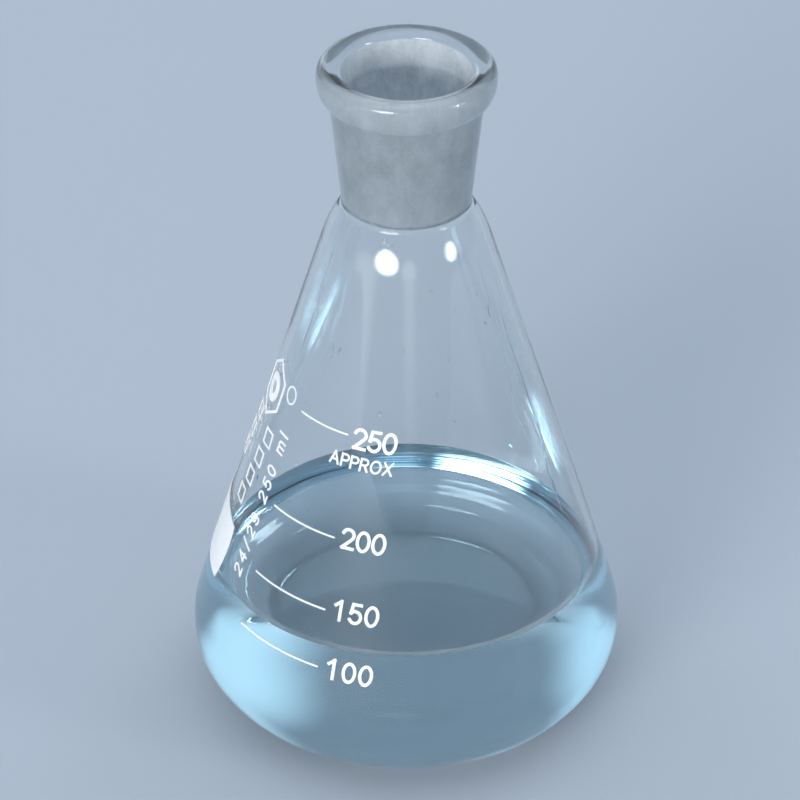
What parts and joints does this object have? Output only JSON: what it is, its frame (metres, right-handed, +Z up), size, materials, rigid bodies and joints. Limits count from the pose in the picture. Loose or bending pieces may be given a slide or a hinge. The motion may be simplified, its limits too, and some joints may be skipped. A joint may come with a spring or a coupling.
{
  "type": "erlenmeyer flask",
  "caption": "Conical glass laboratory flask with a ground-glass socket neck, beaded rim, white printed capacity scale and a partial fill of water.",
  "frame": {"origin": "centre of the base, on the surface the flask stands on", "axes": "+Z up along the flask's axis; -Y is the front, where the capacity numerals end; +X to the right of the numerals"},
  "size_m": [0.085, 0.085, 0.14],
  "materials": {
    "clear_glass": "clear polished borosilicate glass",
    "ground_glass": "borosilicate glass with a finely ground, frosted bore under a clear fire-polished rim",
    "water": "clear water, still surface",
    "white_enamel": "thin fired white enamel print, satin"
  },
  "bodies": {
    "root": {"flask_body": "clear_glass", "ground_socket": "ground_glass", "water": "water", "line_250_ml": "white_enamel", "number_250_digit_1": "white_enamel", "number_250_digit_2": "white_enamel", "number_250_digit_3": "white_enamel", "line_200_ml": "white_enamel", "number_200_digit_1": "white_enamel", "number_200_digit_2": "white_enamel", "number_200_digit_3": "white_enamel", "line_150_ml": "white_enamel", "number_150_digit_1": "white_enamel", "number_150_digit_2": "white_enamel", "number_150_digit_3": "white_enamel", "line_100_ml": "white_enamel", "number_100_digit_1": "white_enamel", "number_100_digit_2": "white_enamel", "number_100_digit_3": "white_enamel", "approx_letter_1": "white_enamel", "approx_letter_2": "white_enamel", "approx_letter_3": "white_enamel", "approx_letter_4": "white_enamel", "approx_letter_5": "white_enamel", "approx_letter_6": "white_enamel", "side_text_1": "white_enamel", "side_text_2": "white_enamel", "side_text_3": "white_enamel", "side_text_4": "white_enamel", "side_text_5": "white_enamel", "side_text_7": "white_enamel", "side_text_8": "white_enamel", "side_text_9": "white_enamel", "side_text_11": "white_enamel", "side_text_12": "white_enamel", "badge_hexagon": "white_enamel", "badge_core": "white_enamel", "small_ring": "white_enamel", "tick_box_1": "white_enamel", "tick_box_2": "white_enamel", "tick_box_3": "white_enamel", "tick_box_4": "white_enamel", "tick_box_5": "white_enamel", "tick_box_6": "white_enamel", "tick_box_7": "white_enamel", "writing_patch": "white_enamel"}
  },
  "joints": []
}
